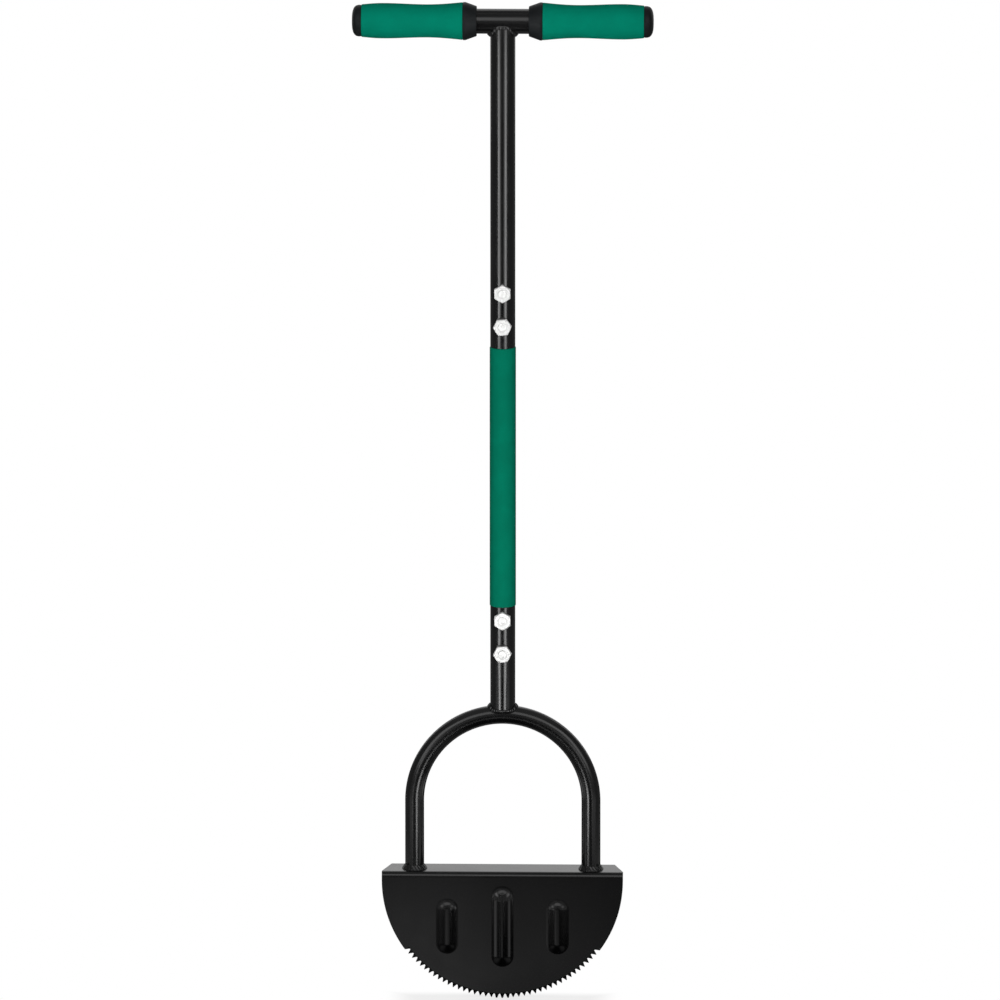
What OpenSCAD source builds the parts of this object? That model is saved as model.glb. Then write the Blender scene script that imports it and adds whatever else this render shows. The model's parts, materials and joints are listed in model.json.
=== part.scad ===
// Half moon edger: a toothed half round blade with a folded footrest, a bent tube fork,
// a bolted shaft in three lengths and a T handle with soft grips.
// Z is up, X runs along the T handle, and the blade's front face looks towards -Y.
// The origin is on the shaft's axis, at the level of the lowest tooth tips.

/* [Blade] */
// Width of the half moon, twice its radius
blade_w = 242; // [200:1:280]
// Straight rise of the sides, from the half circle's centre to the footrest's top
blade_rise = 8.5; // [6:0.5:24]
// Thickness of the steel sheet
sheet_t = 2.5; // [1.5:0.1:4]
// Inner radius of the bend between blade and footrest
bend_r = 3; // [1:0.1:4]
// Depth of the footrest, from the blade's front face to its rear edge
footrest_d = 38; // [32:1:60]
// How far each end of the footrest draws in, from front to rear
footrest_taper = 8.9; // [0:0.1:16]
// Number of teeth on the cutting edge
tooth_count = 39; // [11:2:45]
// Angle of the cutting edge that carries teeth
tooth_arc = 107.8; // [60:0.1:140]
// Depth of the gaps between the teeth
tooth_depth = 4.4; // [3:0.1:6]
// Flat left at each tooth's tip
tooth_tip = 0.4; // [0.2:0.1:0.8]
// Radius at the bottom of the gaps
gullet_r = 0.9; // [0.4:0.1:1]

/* [Ribs] */
// Width of a pressed rib, over its fillets
rib_w = 24; // [19:0.5:26]
// Width of the flat crown of the centre rib
centre_crown_w = 5; // [3:0.5:11]
// Height that the centre rib stands out of the front face
centre_rib_h = 4.2; // [2.6:0.1:4.5]
// Length of the centre rib
centre_rib_len = 84.5; // [50:0.5:90]
// Width of the flat crown of a side rib
side_crown_w = 1; // [0.5:0.5:8]
// Height that a side rib stands out of the front face
side_rib_h = 2.6; // [2:0.1:4]
// Length of the two side ribs
side_rib_len = 58.5; // [40:0.5:66]
// Distance between neighbouring ribs
rib_pitch = 55.5; // [36:0.5:60]
// Distance from the footrest's top down to the ribs' middle
rib_drop = 55.5; // [49:0.5:60]

/* [Fork] */
// Outer diameter of the fork's tube
fork_od = 19; // [16:0.5:21]
// Wall of the fork's tube
fork_wall = 1.5; // [1:0.1:3]
// Radius of the fork's half circle, to the tube's centre
arch_r = 88.5; // [60:0.5:92]
// Straight length of each leg above the footrest
leg_len = 70; // [30:1:140]
// Width of the ring welds at the feet
foot_weld_w = 3.3; // [2:0.1:5]
// Height of the ring welds at the feet
foot_weld_h = 4.8; // [2:0.1:7]

/* [Shaft] */
// Outer diameter of the shaft's and the crossbar's tube
tube_od = 25; // [23:0.1:30]
// Wall of the shaft's and the crossbar's tube
tube_wall = 1.5; // [1:0.1:2.5]
// Wall of the middle tube that slides into the upper and lower tubes
middle_wall = 1.5; // [1:0.1:3]
// Length of the lower tube, from the fork's top centre line to its upper end
lower_len = 112; // [100:1:220]
// Length of the upper shaft, from its lower end to the crossbar's axis
upper_len = 330.5; // [180:0.5:500]
// How far the middle tube reaches into the upper and the lower tube
joint_overlap = 75; // [68:1:80]
// How far the lower tube's front lip stays above the fork's top centre line
neck_lip = 5; // [4:0.1:6]
// How far the upper shaft's lip stays below the crossbar's axis
tee_lip = 4.5; // [3:0.1:6]
// Play between the middle tube and the tubes around it, on the radius
slide_gap = 0.1; // [0.05:0.01:0.3]
// Gap that the weld metal keeps from the tubes in the model
weld_gap = 0.08; // [0.05:0.01:0.2]

/* [Middle sleeve] */
// Length of the green sleeve between the upper and the lower tube
sleeve_len = 264; // [120:1:400]
// How far the green sleeve stands out from the tubes
sleeve_proud = 0.6; // [0:0.1:4]
// Round at the sleeve's rims
sleeve_round = 0.9; // [0.2:0.1:1.4]

/* [Bolts] */
// Thread diameter of the bolts
bolt_d = 10; // [6:0.5:12]
// Size of the hex heads and nuts across the flats
hex_af = 16; // [15:0.5:18]
// Height of a bolt's head
head_h = 6.4; // [4:0.1:8]
// Diameter of the dished ring in a bolt's head
dish_d = 9; // [6:0.1:12]
// Depth of the dish in a bolt's head
dish_depth = 0.7; // [0.2:0.1:1.5]
// Height of a nut
nut_h = 8.4; // [5:0.1:10]
// Thickness of a lock washer
washer_t = 2.2; // [1:0.1:3]
// Outer diameter of a lock washer
washer_od = 18.1; // [16:0.1:22]
// Thread that stands out behind a nut
bolt_tail = 4.4; // [1.5:0.1:8]
// Distance between the two bolts of a joint
bolt_pitch = 34; // [26:0.5:36]
// Distance from the lower tube's end to its first bolt
lower_bolt_inset = 13; // [12:0.5:24]
// Distance from the upper shaft's end to its first bolt
upper_bolt_inset = 23; // [12:0.5:24]
// Play of the bolts in the tubes, on the radius
hole_gap = 0.25; // [0.1:0.05:0.6]
// Gap between thread and nut in the model, on the radius
thread_gap = 0.05; // [0.02:0.01:0.1]

/* [Handle] */
// Bare crossbar on each side, from the shaft's axis to the collar
bare_len = 26; // [22:0.5:40]
// Length of a black collar
collar_len = 13.8; // [8:0.1:24]
// How far a collar's rim stands out from the crossbar
collar_rim = 6.5; // [5:0.1:10]
// How far a collar's nose stands out from the crossbar
collar_nose = 2.5; // [1.5:0.1:5]
// Width of the straight rim of a collar
collar_land = 2.6; // [1:0.1:4]
// Length of a green grip
grip_len = 101; // [90:1:130]
// Thickness of a grip beside the collar
grip_rim = 6.3; // [4:0.1:10]
// Thickness of a grip's waist
grip_waist = 3.95; // [2:0.05:8]
// Distance from the collar to a grip's waist
grip_waist_at = 36; // [20:1:44]
// Thickness of a grip's swell
grip_swell = 5.1; // [3:0.1:9]
// Distance from the collar to a grip's swell
grip_swell_at = 79; // [60:1:84]
// Thickness of a grip's outer end
grip_end = 3.7; // [2:0.1:8]
// Length of an end cap outside the tube
cap_len = 9.4; // [5:0.1:16]
// How far an end cap stands out from the crossbar
cap_rim = 3.3; // [1:0.1:6]
// Length of an end cap's stem inside the tube
cap_stem_len = 16; // [8:0.5:30]
// Number of barbs on an end cap's stem
cap_barbs = 3; // [1:1:4]
// Gap between a pushed on piece and its tube, on the radius
push_gap = 0.05; // [0.02:0.01:0.2]

/* [Hidden] */
$fn = 96;

black_paint = [0.10, 0.10, 0.105];
black_plastic = [0.07, 0.07, 0.072];
green_soft = [0.01, 0.42, 0.33];
zinc = [0.88, 0.88, 0.87];

// Overshoot of cutting bodies past the faces that they cut
over = 1;

// Blade
blade_r = blade_w / 2;
footrest_top = blade_r + blade_rise;
front_y = -footrest_d / 2;
rear_y = footrest_d / 2;
bend_outer_r = bend_r + sheet_t;
tooth_pitch = tooth_arc / (tooth_count + 1);
rib_mid_z = footrest_top - rib_drop;
rib_steps = 7;

// Fork and shaft
fork_r = fork_od / 2;
arch_z = footrest_top + leg_len;
arch_top = arch_z + arch_r;
tube_r = tube_od / 2;
bore_r = tube_r - tube_wall;
middle_r = bore_r - slide_gap;
lower_end = arch_top + lower_len;
upper_end = lower_end + sleeve_len;
bar_z = upper_end + upper_len;

// Bolts
bolt_r = bolt_d / 2;
bolt_len = tube_od + washer_t + nut_h + bolt_tail;
hex_corner_r = hex_af / 2 / cos(30);
washer_face_t = 0.5;
washer_face_gap = 0.6;
hex_chamfer = (hex_corner_r - hex_af / 2) * tan(30);
dish_floor = 0.8;
bolt_point = 1.2;
lock_slit = 1.4;
lock_slit_lean = 20;
lower_bolts = [for (i = [0, 1]) lower_end - lower_bolt_inset - i * bolt_pitch];
upper_bolts = [for (i = [1, 0]) upper_end + upper_bolt_inset + i * bolt_pitch];
// Turn of the two bolts of a joint, upper one first
bolt_turns = [30, 4];

// Handle
grip_start = bare_len + collar_len;
grip_stop = grip_start + grip_len;
grip_steps = 8;
cap_steps = 10;
cap_roundness = 3;
stem_wall = 2;
barb_h = 0.7;

// Welds: legs at the shaft's sides and front, and how full their faces stand
weld_rings = 48;
foot_weld_steps = 6;
foot_weld_power = 2.1;
side_leg = 3.6;
front_leg = 2.5;
weld_root = 0.8;
side_fullness = 0.46;
tee_fullness = 0.6;
neck_fullness = 1.35;

// Ring between two radii, standing on the XY plane
module tube(outer_r, inner_r, length) {
    difference() {
        cylinder(r = outer_r, h = length);
        translate([0, 0, -over]) cylinder(r = inner_r, h = length + 2 * over);
    }
}

// Places a shape made along Z on the crossbar's axis, pointing to the right or to the left
module along_bar(right) {
    translate([0, 0, bar_z]) rotate([0, right ? 90 : -90, 0]) children();
}

// Round holes through a tube, front to back
module bolt_holes(heights) {
    for (z = heights)
        translate([0, tube_od, z]) rotate([90, 0, 0]) cylinder(r = bolt_r + hole_gap, h = 2 * tube_od);
}

// Section of the sheet: blade upright at the front, bend, footrest to the rear
module sheet_section() {
    translate([front_y, 0]) square([sheet_t, footrest_top - bend_outer_r]);
    translate([front_y + bend_outer_r, footrest_top - sheet_t])
        square([footrest_d - bend_outer_r, sheet_t]);
    translate([front_y + bend_outer_r, footrest_top - bend_outer_r]) intersection() {
        difference() {
            circle(r = bend_outer_r);
            circle(r = bend_r);
        }
        translate([-bend_outer_r, 0]) square(bend_outer_r);
    }
}

// One gap between two teeth, pointing down from the half circle's centre
module tooth_gap() {
    gullet_y = -(blade_r - tooth_depth + gullet_r);
    half_open = tooth_pitch / 2 - asin(tooth_tip / 2 / blade_r);
    tip = [blade_r * sin(half_open), -blade_r * cos(half_open)];
    from_gullet = tip - [0, gullet_y];
    touch_turn = atan2(from_gullet.y, from_gullet.x) + acos(gullet_r / norm(from_gullet));
    touch = [gullet_r * cos(touch_turn), gullet_y + gullet_r * sin(touch_turn)];
    past_tip = tip + (tip - touch) / norm(tip - touch);
    translate([0, gullet_y]) circle(r = gullet_r);
    polygon([touch, past_tip, [-past_tip.x, past_tip.y], [-touch.x, touch.y]]);
}

// Front outline of the blade with its teeth
module blade_outline() {
    difference() {
        union() {
            translate([0, blade_r]) circle(r = blade_r);
            translate([-blade_r, blade_r]) square([blade_w, blade_rise]);
        }
        for (i = [0 : tooth_count])
            translate([0, blade_r]) rotate((i - tooth_count / 2) * tooth_pitch) tooth_gap();
    }
}

// Plan of the footrest, drawn in towards its rear edge
module footrest_plan() {
    bend_y = front_y + bend_outer_r;
    rear_half = blade_r - footrest_taper;
    polygon([
        [-blade_r, front_y - over], [blade_r, front_y - over], [blade_r, bend_y],
        [rear_half, rear_y], [-rear_half, rear_y], [-blade_r, bend_y]
    ]);
}

// Half section of a rib, from its crown to its foot: two arcs that meet half way up.
// The depth moves the curve into the sheet, so front and back keep one thickness.
function rib_curve(height, crown_w, depth) =
    let (
        crown = crown_w / 2,
        foot = rib_w / 2,
        run = foot - crown,
        r = (run * run + height * height) / (4 * height),
        turn = 2 * atan(height / run)
    )
    concat(
        [for (i = [0 : rib_steps]) let (a = turn * i / rib_steps)
            [crown + (r - depth) * sin(a), height - r + (r - depth) * cos(a)]],
        [for (i = [rib_steps - 1 : -1 : 1]) let (a = turn * i / rib_steps)
            [foot - (r + depth) * sin(a), r - (r + depth) * cos(a)]]
    );

// Outline of half a rib's section; its foot runs a little into the sheet or out of its back
module rib_half(height, crown_w, depth) {
    foot_dip = 0.15;
    polygon(concat(
        [[0, height - depth]], rib_curve(height, crown_w, depth),
        [[rib_w / 2, -depth - foot_dip], [rib_w / 2, -depth - over], [0, -depth - over]]
    ));
}

// One rib with half round ends, standing out of the front face
module rib(length, height, crown_w, depth) {
    straight = length - rib_w;
    translate([0, front_y, rib_mid_z]) {
        translate([0, 0, -straight / 2]) rotate([0, 0, 180]) linear_extrude(straight) {
            rib_half(height, crown_w, depth);
            mirror([1, 0]) rib_half(height, crown_w, depth);
        }
        for (end = [0, 1]) rotate([0, 180 * end, 0])
            translate([0, 0, straight / 2]) rotate([90, 0, 0])
                rotate_extrude(angle = 180) rib_half(height, crown_w, depth);
    }
}

// The three ribs; depth 0 gives the bosses in front, the sheet's thickness the hollows behind
module ribs(depth) {
    rib(centre_rib_len, centre_rib_h, centre_crown_w, depth);
    for (side = [-1, 1])
        translate([side * rib_pitch, 0, 0]) rib(side_rib_len, side_rib_h, side_crown_w, depth);
}

// One pressed steel sheet with teeth, ribs and footrest
module blade() {
    color(black_paint) difference() {
        union() {
            intersection() {
                translate([-blade_r, 0, 0]) rotate([90, 0, 90]) linear_extrude(blade_w) sheet_section();
                translate([0, rear_y + over, 0]) rotate([90, 0, 0])
                    linear_extrude(footrest_d + 2 * over) blade_outline();
                translate([0, 0, -over]) linear_extrude(footrest_top + 2 * over) footrest_plan();
            }
            ribs(0);
        }
        ribs(sheet_t);
    }
}

// Ring weld around the foot of a leg
module foot_weld_ring() {
    inner_r = fork_r + weld_gap;
    color(black_paint) rotate_extrude() polygon(concat(
        [[inner_r, 0]],
        [for (i = [0 : foot_weld_steps])
            let (a = 90 * i / foot_weld_steps)
            [
                inner_r + foot_weld_w * pow(cos(a), foot_weld_power),
                foot_weld_h * pow(sin(a), foot_weld_power)
            ]]
    ));
}

module left_leg_weld() {
    translate([-arch_r, 0, footrest_top]) foot_weld_ring();
}

module right_leg_weld() {
    translate([arch_r, 0, footrest_top]) foot_weld_ring();
}

// Half ring that the fork's tube follows at its top
module arch(outer_r, inner_r) {
    translate([0, 0, arch_z]) rotate([90, 0, 0]) rotate_extrude(angle = 180)
        translate([arch_r, 0]) difference() {
            circle(r = outer_r);
            circle(r = inner_r);
        }
}

// One tube bent to a half circle with two straight legs
module fork() {
    color(black_paint) {
        arch(fork_r, fork_r - fork_wall);
        for (side = [-1, 1])
            translate([side * arch_r, 0, footrest_top]) tube(fork_r, fork_r - fork_wall, leg_len);
    }
}

// Short tube that stands on the fork and takes the middle tube
module lower_tube() {
    lip_z = arch_top + neck_lip;
    color(black_paint) difference() {
        translate([0, 0, lip_z]) tube(tube_r, bore_r, lower_end - lip_z);
        translate([0, 0, arch_z]) rotate([90, 0, 0]) rotate_extrude(angle = 180)
            translate([arch_r, 0]) circle(r = fork_r + weld_gap);
        bolt_holes(lower_bolts);
    }
}

// Inner tube, bolted into the lower tube and the upper shaft
module middle_tube() {
    bottom = lower_end - joint_overlap;
    color(black_paint) difference() {
        translate([0, 0, bottom]) tube(middle_r, middle_r - middle_wall, sleeve_len + 2 * joint_overlap);
        bolt_holes(lower_bolts);
        bolt_holes(upper_bolts);
    }
}

// Soft sleeve that fills the stretch between the two outer tubes
module middle_sleeve() {
    outer_r = tube_r + sleeve_proud;
    inner_r = middle_r + push_gap;
    color(green_soft) translate([0, 0, lower_end]) rotate_extrude() {
        translate([inner_r, 0]) square([outer_r - sleeve_round - inner_r, sleeve_len]);
        translate([inner_r, sleeve_round]) square([outer_r - inner_r, sleeve_len - 2 * sleeve_round]);
        for (z = [sleeve_round, sleeve_len - sleeve_round])
            translate([outer_r - sleeve_round, z]) circle(r = sleeve_round);
    }
}

// Tube from the middle sleeve up to the crossbar, with a saddle cut at its top
module upper_shaft() {
    color(black_paint) difference() {
        translate([0, 0, upper_end]) tube(tube_r, bore_r, upper_len - tee_lip);
        translate([-tube_od, 0, bar_z]) rotate([0, 90, 0]) cylinder(r = tube_r + weld_gap, h = 2 * tube_od);
        bolt_holes(upper_bolts);
    }
}

// Six sided block with its corners turned off at the top, and at the bottom where asked
module hex_block(height, both_ends) {
    intersection() {
        cylinder(r = hex_corner_r, h = height, $fn = 6);
        rotate_extrude() polygon([
            [0, 0],
            [both_ends ? hex_af / 2 : hex_corner_r, 0],
            [hex_corner_r, both_ends ? hex_chamfer : 0],
            [hex_corner_r, height - hex_chamfer],
            [hex_af / 2, height],
            [0, height]
        ]);
    }
}

// Hex bolt along Z: the head stands above the plane that bears on the tube, the thread below it
module hex_bolt() {
    dish_r = dish_d / 2;
    difference() {
        translate([0, 0, washer_face_t]) hex_block(head_h - washer_face_t, false);
        translate([0, 0, head_h]) rotate_extrude() polygon([
            [0, -dish_depth / 2], [0, over], [dish_r, over], [dish_r, 0], [dish_r * dish_floor, -dish_depth]
        ]);
    }
    cylinder(r = hex_af / 2 - washer_face_gap, h = washer_face_t);
    rotate_extrude() polygon([
        [0, 0], [bolt_r, 0], [bolt_r, bolt_point - bolt_len],
        [bolt_r - bolt_point, -bolt_len], [0, -bolt_len]
    ]);
}

// The two bolts of a joint, heads to the front
module joint_bolts(heights) {
    color(zinc) for (i = [0, 1])
        translate([0, -tube_r, heights[i]]) rotate([90, 0, 0]) rotate([0, 0, bolt_turns[i]]) hex_bolt();
}

// Split ring washers behind the tube, slit to one side
module joint_washers(heights) {
    color(zinc) for (z = heights)
        translate([0, tube_r, z]) rotate([-90, 0, 0]) difference() {
            tube(washer_od / 2, bolt_r + hole_gap, washer_t);
            translate([washer_od / 2, 0, washer_t / 2]) rotate([lock_slit_lean, 0, 0])
                cube([washer_od - bolt_d, lock_slit, 3 * washer_t], center = true);
        }
}

// Hex nuts behind the washers
module joint_nuts(heights) {
    color(zinc) for (i = [0, 1])
        translate([0, tube_r + washer_t, heights[i]]) rotate([-90, 0, 0]) rotate([0, 0, bolt_turns[1 - i]])
            difference() {
                hex_block(nut_h, true);
                translate([0, 0, -over]) cylinder(r = bolt_r + thread_gap, h = nut_h + 2 * over);
            }
}

module lower_joint_bolts() {
    joint_bolts(lower_bolts);
}

module lower_joint_washers() {
    joint_washers(lower_bolts);
}

module lower_joint_nuts() {
    joint_nuts(lower_bolts);
}

module upper_joint_bolts() {
    joint_bolts(upper_bolts);
}

module upper_joint_washers() {
    joint_washers(upper_bolts);
}

module upper_joint_nuts() {
    joint_nuts(upper_bolts);
}

// Nearest point on the crossbar's surface, a weld gap away
function onto_bar(p) =
    let (across = [p.y, p.z - bar_z], reach = (tube_r + weld_gap) / norm(across))
    [p.x, across.x * reach, bar_z + across.y * reach];

// Nearest point on the fork's surface, a weld gap away
function onto_fork(p) =
    let (
        spoke = [p.x, p.z - arch_z] * arch_r / norm([p.x, p.z - arch_z]),
        centre = [spoke.x, 0, arch_z + spoke.y],
        away = p - centre
    )
    centre + away * (fork_r + weld_gap) / norm(away);

// Height of the shaft's cut end at a place around it, at the crossbar or at the fork
function bar_cut(around) =
    let (y = tube_r * sin(around))
    bar_z - max(tee_lip, sqrt(max(0, tube_r * tube_r - y * y)));

function fork_cut(around) =
    let (
        x = tube_r * cos(around),
        y = tube_r * sin(around),
        side_top = sqrt(max(0, fork_r * fork_r - y * y)) + sqrt(arch_r * arch_r - x * x)
    )
    max(arch_top + neck_lip, arch_z + side_top);

// One section of a saddle weld: shaft side, root, carrier side and a full face of three points
function weld_section(around, at_fork) =
    let (
        up = at_fork ? 1 : -1,
        front = pow(sin(around), 2),
        leg = side_leg * (1 - front) + front_leg * front,
        full = side_fullness * leg * (1 - front),
        front_full = (at_fork ? neck_fullness : tee_fullness) * front_leg,
        out = [cos(around), sin(around), 0],
        along = [out.x * (1 - front), out.y * (1 - front), -up * front],
        root = out * (tube_r + weld_gap) + [0, 0, at_fork ? fork_cut(around) : bar_cut(around)],
        on_shaft = root + [0, 0, up * leg],
        near = at_fork ? onto_fork(root + along * weld_root) : onto_bar(root + along * weld_root),
        far = at_fork ? onto_fork(root + along * leg) : onto_bar(root + along * leg),
        pull = root + out * (full + front_full * front) + [0, 0, up * full]
    )
    concat(
        [on_shaft, root, near, far],
        [for (t = [0.75, 0.5, 0.25]) on_shaft * pow(1 - t, 2) + pull * 2 * t * (1 - t) + far * t * t]
    );

// Weld bead that follows the saddle where the shaft meets the crossbar or the fork
module saddle_weld(at_fork) {
    sections = [for (i = [0 : weld_rings - 1]) weld_section(360 * i / weld_rings, at_fork)];
    sides = len(sections[0]);
    quads = [for (i = [0 : weld_rings - 1], j = [0 : sides - 1])
        let (
            next = (i + 1) % weld_rings,
            turn = (j + 1) % sides
        )
        [i * sides + j, i * sides + turn, next * sides + turn, next * sides + j]];
    triangles = [for (q = quads, half = [0, 1])
        let (face = half == 0 ? [q[0], q[1], q[2]] : [q[0], q[2], q[3]])
        at_fork ? face : [face[2], face[1], face[0]]];
    color(black_paint) polyhedron(points = [for (s = sections, p = s) p], faces = triangles);
}

module neck_weld() {
    saddle_weld(true);
}

module tee_weld() {
    saddle_weld(false);
}

// Tube across the top that carries the grips
module crossbar() {
    color(black_paint) translate([-grip_stop, 0, bar_z]) rotate([0, 90, 0])
        tube(tube_r, bore_r, 2 * grip_stop);
}

// Tapered ring between bare tube and grip
module collar() {
    inner_r = tube_r + push_gap;
    nose_r = tube_r + collar_nose;
    rim_r = tube_r + collar_rim;
    nose_round = 0.7;
    color(black_plastic) translate([0, 0, bare_len]) rotate_extrude() polygon([
        [inner_r, 0], [nose_r - nose_round, 0], [nose_r, nose_round],
        [rim_r - nose_round / 4, collar_len - collar_land], [rim_r, collar_len - collar_land + nose_round],
        [rim_r, collar_len], [inner_r, collar_len]
    ]);
}

// Smooth run from one radius to the next, level at both ends
function ease(from, to, share) = from + (to - from) * (1 - cos(180 * share)) / 2;

// Radius that falls or rises from a rim at its steepest, and ends level
function ease_out(from, to, share) = from + (to - from) * sin(90 * share);

// Soft grip with a waist and a swell
module grip() {
    inner_r = tube_r + push_gap;
    rim_r = tube_r + grip_rim;
    waist_r = tube_r + grip_waist;
    swell_r = tube_r + grip_swell;
    end_r = tube_r + grip_end;
    steps = [for (i = [0 : grip_steps]) i / grip_steps];
    color(green_soft) translate([0, 0, grip_start]) rotate_extrude() polygon(concat(
        [[inner_r, 0]],
        [for (s = steps) [ease_out(rim_r, waist_r, s), grip_waist_at * s]],
        [for (s = steps) if (s > 0)
            [ease(waist_r, swell_r, s), grip_waist_at + (grip_swell_at - grip_waist_at) * s]],
        [for (s = steps) if (s > 0)
            [ease_out(end_r, swell_r, 1 - s), grip_swell_at + (grip_len - grip_swell_at) * s]],
        [[inner_r, grip_len]]
    ));
}

// Domed cap with a barbed stem that holds in the crossbar's end
module end_cap() {
    rim_r = tube_r + cap_rim;
    stem_r = bore_r - slide_gap;
    core_r = stem_r - barb_h;
    barb_pitch = cap_stem_len / (cap_barbs + 1);
    color(black_plastic) translate([0, 0, grip_stop]) rotate_extrude() {
        polygon(concat(
            [[0, 0]],
            [for (i = [0 : cap_steps])
                let (a = 90 * i / cap_steps)
                [rim_r * pow(cos(a), 2 / cap_roundness), cap_len * pow(sin(a), 2 / cap_roundness)]]
        ));
        translate([core_r - stem_wall, -cap_stem_len]) square([stem_wall, cap_stem_len + over]);
        for (i = [1 : cap_barbs]) translate([core_r, -barb_pitch * i]) polygon([
            [-stem_wall / 2, -barb_pitch / 2], [0, -barb_pitch / 2], [barb_h, 0], [-stem_wall / 2, 0]
        ]);
    }
}

module left_grip_collar() {
    along_bar(false) collar();
}

module right_grip_collar() {
    along_bar(true) collar();
}

module left_grip() {
    along_bar(false) grip();
}

module right_grip() {
    along_bar(true) grip();
}

module left_end_cap() {
    along_bar(false) end_cap();
}

module right_end_cap() {
    along_bar(true) end_cap();
}

blade();
left_leg_weld();
right_leg_weld();
fork();
neck_weld();
lower_tube();
lower_joint_bolts();
lower_joint_washers();
lower_joint_nuts();
middle_tube();
middle_sleeve();
upper_joint_bolts();
upper_joint_washers();
upper_joint_nuts();
upper_shaft();
tee_weld();
crossbar();
left_grip_collar();
right_grip_collar();
left_grip();
right_grip();
left_end_cap();
right_end_cap();
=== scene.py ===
import json
import math

import bmesh
import bpy
from mathutils import Matrix, Vector

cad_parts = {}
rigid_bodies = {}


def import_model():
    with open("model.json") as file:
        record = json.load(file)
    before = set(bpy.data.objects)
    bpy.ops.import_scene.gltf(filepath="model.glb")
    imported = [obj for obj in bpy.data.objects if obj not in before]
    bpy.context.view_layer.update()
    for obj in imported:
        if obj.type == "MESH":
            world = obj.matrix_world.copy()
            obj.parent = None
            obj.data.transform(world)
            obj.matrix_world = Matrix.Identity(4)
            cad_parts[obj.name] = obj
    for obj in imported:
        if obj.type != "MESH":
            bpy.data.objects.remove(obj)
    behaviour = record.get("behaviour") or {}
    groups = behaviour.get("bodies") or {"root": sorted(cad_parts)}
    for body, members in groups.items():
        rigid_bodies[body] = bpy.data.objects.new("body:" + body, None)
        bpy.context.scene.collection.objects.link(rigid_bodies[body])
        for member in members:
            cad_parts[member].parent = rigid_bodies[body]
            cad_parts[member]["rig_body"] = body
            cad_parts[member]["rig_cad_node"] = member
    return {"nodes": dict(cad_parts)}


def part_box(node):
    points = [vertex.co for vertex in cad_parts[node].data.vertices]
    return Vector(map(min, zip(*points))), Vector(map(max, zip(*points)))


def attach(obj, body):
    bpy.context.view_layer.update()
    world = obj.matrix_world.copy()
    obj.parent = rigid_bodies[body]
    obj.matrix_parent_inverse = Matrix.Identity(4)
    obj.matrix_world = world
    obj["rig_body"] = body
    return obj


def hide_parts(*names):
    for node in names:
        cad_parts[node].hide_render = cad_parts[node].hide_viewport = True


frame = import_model()

bl_info = {
    "name": "Half Moon Edger",
    "version": (1, 0, 0),
    "blender": (4, 5, 0),
    "location": "View3D > Sidebar > Edger",
    "description": "Models a long-handled half moon edger piece by piece and sets up its studio",
    "category": "Add Mesh",
}

MM = 0.001
MERGE = 0.002 * MM
TOUCH = 0.01 * MM
PLAY = 0.05 * MM
HOLE_PLAY = 0.5 * MM
TUBE_STEPS = 128
HEX_STEPS = 72
HEX_HALF = math.radians(30)
HEX_TURN = -34.0
SMOOTH = 32.0
BODY = "root"

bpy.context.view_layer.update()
BAR_LOW, BAR_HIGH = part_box("crossbar")
FORK_LOW, FORK_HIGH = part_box("fork")
LOWER_LOW, LOWER_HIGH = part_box("lower_tube")
UPPER_LOW, UPPER_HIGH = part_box("upper_shaft")
SLEEVE_LOW, SLEEVE_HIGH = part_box("middle_sleeve")
COLLAR_LOW, COLLAR_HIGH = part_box("right_grip_collar")
GRIP_LOW, GRIP_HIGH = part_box("right_grip")
CAP_LOW, CAP_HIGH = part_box("right_end_cap")

TUBE_R = (BAR_HIGH.y - BAR_LOW.y) / 2
BAR_Z = (BAR_LOW.z + BAR_HIGH.z) / 2
FORK_R = (FORK_HIGH.y - FORK_LOW.y) / 2
ARCH_R = (FORK_HIGH.x - FORK_LOW.x) / 2 - FORK_R
ARCH_Z = FORK_HIGH.z - FORK_R - ARCH_R
FOOT_Z = FORK_LOW.z
JOINTS = ("lower", "upper")


def a_length(name, description, default, low=0.0):
    """A length in metres that a user can change."""
    return bpy.props.FloatProperty(
        name=name, description=description, default=default, min=low, unit="LENGTH")


def an_angle(name, description, degrees):
    """An angle that a user can change."""
    return bpy.props.FloatProperty(
        name=name, description=description, default=math.radians(degrees), subtype="ANGLE")


def a_share(name, description, default):
    """A value from 0 to 1 that a user can change."""
    return bpy.props.FloatProperty(
        name=name, description=description, default=default, min=0, max=1, subtype="FACTOR")


def a_brightness(name, description, default):
    """A lamp's brightness that a user can change."""
    return bpy.props.FloatProperty(name=name, description=description, default=default, min=0)


def a_color(name, description, color):
    """A finish's colour that a user can change."""
    return bpy.props.FloatVectorProperty(
        name=name, description=description, default=(*color, 1), size=4, min=0, max=1,
        subtype="COLOR")


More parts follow.
